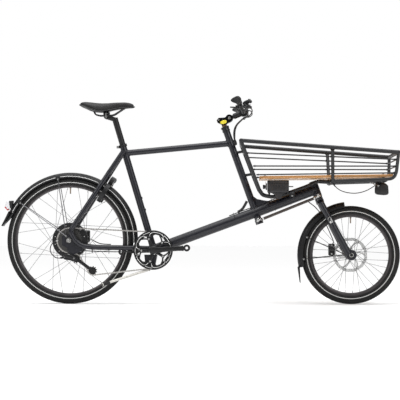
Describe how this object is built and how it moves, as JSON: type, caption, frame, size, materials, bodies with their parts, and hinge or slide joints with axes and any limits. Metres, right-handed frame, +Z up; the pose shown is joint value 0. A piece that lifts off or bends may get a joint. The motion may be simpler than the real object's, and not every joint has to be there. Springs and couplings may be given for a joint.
{
  "type": "cargo bicycle",
  "caption": "Cargo bicycle with a tube basket over a small front wheel, rod-linked remote steering, hub motor and derailleur drive.",
  "frame": {"origin": "on the ground, under the middle of the bicycle", "axes": "+X forwards, +Y to the rider's left, +Z up"},
  "size_m": [2.0686, 0.6678, 1.056],
  "materials": {
    "frame_paint": "satin dark navy charcoal",
    "carrier_paint": "satin dark charcoal powder coat",
    "black_alloy": "satin black anodised",
    "silver_alloy": "satin",
    "steel": "brushed",
    "chain_steel": "nickel plated",
    "bronze_tube": "dark bronze anodised",
    "black_plastic": "moulded",
    "clear_plastic": "clear moulded",
    "grip_rubber": "matt",
    "tyre_rubber": "matt with treads",
    "saddle_cover": "matt synthetic",
    "deck_wood": "oiled",
    "cable_jacket": "extruded"
  },
  "bodies": {
    "frame": {"boom_tube": "frame_paint", "head_tubes": "frame_paint", "upper_frame": "frame_paint", "rear_stay_left": "frame_paint", "rear_stay_right": "frame_paint", "bearing_cups": "black_alloy", "seat_collar": "black_alloy", "basket_side_left": "carrier_paint", "basket_side_right": "carrier_paint", "basket_cradle": "carrier_paint", "basket_deck": "deck_wood", "control_box": "black_plastic", "headlight_cable": "cable_jacket", "rear_mudguard": "black_plastic", "tail_light": "black_plastic", "ring_lock": "black_alloy", "rear_axle": "steel", "rear_caliper": "black_alloy", "chain": "chain_steel", "derailleur_body": "black_alloy", "stand_bracket": "frame_paint", "steering_hoses": "cable_jacket", "frame_cables": "cable_jacket"},
    "steering_column": {"steering_column": "frame_paint"},
    "lifter": {"lifter_tube": "bronze_tube"},
    "stem": {"stem": "black_alloy", "handlebar": "black_alloy", "grips": "grip_rubber", "bar_controls": "black_plastic"},
    "brake_lever_right": {"brake_lever_right": "black_alloy"},
    "brake_lever_left": {"brake_lever_left": "black_alloy"},
    "shift_lever": {"shift_lever": "black_plastic"},
    "steering_rod": {"steering_rod": "black_plastic"},
    "fork": {"fork": "frame_paint", "front_mudguard": "black_plastic", "front_caliper": "black_alloy", "front_axle": "steel"},
    "front_wheel": {"front_tyre": "tyre_rubber", "front_rim": "black_alloy", "front_spokes": "steel", "front_hub": "black_alloy", "front_rotor": "steel"},
    "rear_wheel": {"rear_tyre": "tyre_rubber", "rear_rim": "black_alloy", "rear_spokes": "steel", "rear_hub_motor": "black_alloy", "rear_rotor": "steel"},
    "cassette": {"cassette": "chain_steel"},
    "crankset": {"crank_arms": "black_alloy", "chainring": "black_alloy"},
    "derailleur_cage": {"derailleur_cage": "black_alloy"},
    "guide_pulley": {"guide_pulley": "black_plastic"},
    "tension_pulley": {"tension_pulley": "black_plastic"},
    "kickstand": {"kickstand": "silver_alloy"},
    "seatpost": {"seatpost": "black_alloy", "saddle_rails": "steel", "saddle": "saddle_cover"},
    "lock_bolt": {"lock_bolt": "steel"},
    "headlight": {"headlight": "black_plastic", "headlight_lens": "clear_plastic"}
  },
  "joints": [
    {"name": "steering_turn", "type": "hinge", "parent": "frame", "child": "steering_column", "pos_m": [0.2088, 0, 0.6961], "axis": [-0.3387, 0, 0.9409], "range_deg": [-35, 35], "deforming": ["steering_hoses"]},
    {"name": "bar_height", "type": "slide", "parent": "steering_column", "child": "lifter", "axis": [-0.3387, 0, 0.9409], "range_m": [0, 0.06], "deforming": ["steering_hoses"]},
    {"name": "stem_tilt", "type": "hinge", "parent": "lifter", "child": "stem", "pos_m": [0.1514, 0, 0.9642], "axis": [0, -1, 0], "range_deg": [-15, 35], "deforming": ["steering_hoses"]},
    {"name": "brake_pull_right", "type": "hinge", "parent": "stem", "child": "brake_lever_right", "pos_m": [0.236, -0.186, 1.006], "axis": [-0.8838, 0, -0.4679], "range_deg": [0, 13], "stiffness_Nm_per_rad": 2},
    {"name": "brake_pull_left", "type": "hinge", "parent": "stem", "child": "brake_lever_left", "pos_m": [0.236, 0.186, 1.006], "axis": [0.8838, 0, 0.4679], "range_deg": [0, 13], "stiffness_Nm_per_rad": 2},
    {"name": "shift_push", "type": "hinge", "parent": "stem", "child": "shift_lever", "pos_m": [0.196, -0.172, 1.008], "axis": [0, 0, -1], "range_deg": [0, 22], "stiffness_Nm_per_rad": 0.5},
    {"name": "rod_swing", "type": "hinge", "parent": "steering_column", "child": "steering_rod", "pos_m": [0.30568, -0.088, 0.42701], "axis": [-0.3387, 0, 0.9409], "range_deg": [-35, 35]},
    {"name": "fork_turn", "type": "hinge", "parent": "frame", "child": "fork", "pos_m": [0.6146, 0, 0.548], "axis": [-0.3387, 0, 0.9409], "range_deg": [-35, 35]},
    {"name": "front_wheel_spin", "type": "hinge", "parent": "fork", "child": "front_wheel", "pos_m": [0.7793, 0, 0.255], "axis": [0, 1, 0], "continuous": true},
    {"name": "rear_wheel_spin", "type": "hinge", "parent": "frame", "child": "rear_wheel", "pos_m": [-0.6764, 0, 0.33], "axis": [0, 1, 0], "continuous": true},
    {"name": "crank_spin", "type": "hinge", "parent": "frame", "child": "crankset", "pos_m": [-0.241, 0, 0.2805], "axis": [0, 1, 0], "continuous": true, "deforming": ["chain"]},
    {"name": "cassette_spin", "type": "hinge", "parent": "frame", "child": "cassette", "pos_m": [-0.6764, 0, 0.33], "axis": [0, 1, 0], "continuous": true, "deforming": ["chain"]},
    {"name": "cage_swing", "type": "hinge", "parent": "frame", "child": "derailleur_cage", "pos_m": [-0.6416, -0.036, 0.2353], "axis": [0, 1, 0], "range_deg": [-12, 50], "stiffness_Nm_per_rad": 1.5, "deforming": ["chain"]},
    {"name": "guide_pulley_spin", "type": "hinge", "parent": "derailleur_cage", "child": "guide_pulley", "pos_m": [-0.6416, -0.036, 0.2353], "axis": [0, 1, 0], "continuous": true, "deforming": ["chain"]},
    {"name": "tension_pulley_spin", "type": "hinge", "parent": "derailleur_cage", "child": "tension_pulley", "pos_m": [-0.5569, -0.036, 0.173], "axis": [0, 1, 0], "continuous": true, "deforming": ["chain"]},
    {"name": "stand_fold", "type": "hinge", "parent": "frame", "child": "kickstand", "pos_m": [-0.25, 0, 0.192], "axis": [0, -1, 0], "range_deg": [0, 112]},
    {"name": "seat_height", "type": "slide", "parent": "frame", "child": "seatpost", "axis": [-0.2857, 0, 0.9583], "range_m": [-0.12, 0.08]},
    {"name": "lock_close", "type": "hinge", "parent": "frame", "child": "lock_bolt", "pos_m": [-0.4988, 0, 0.5745], "axis": [0.8387, 0, -0.5446], "range_deg": [0, 92]},
    {"name": "lamp_tilt", "type": "hinge", "parent": "frame", "child": "headlight", "pos_m": [0.921, 0, 0.612], "axis": [0, 1, 0], "range_deg": [0, 15]}
  ],
  "couplings": [
    {"joint": "fork_turn", "follows": "steering_turn", "ratio": 1},
    {"joint": "rod_swing", "follows": "steering_turn", "ratio": -1},
    {"joint": "cassette_spin", "follows": "crank_spin", "ratio": 1.4375},
    {"joint": "guide_pulley_spin", "follows": "crank_spin", "ratio": -4.1818},
    {"joint": "tension_pulley_spin", "follows": "crank_spin", "ratio": 4.1818}
  ]
}
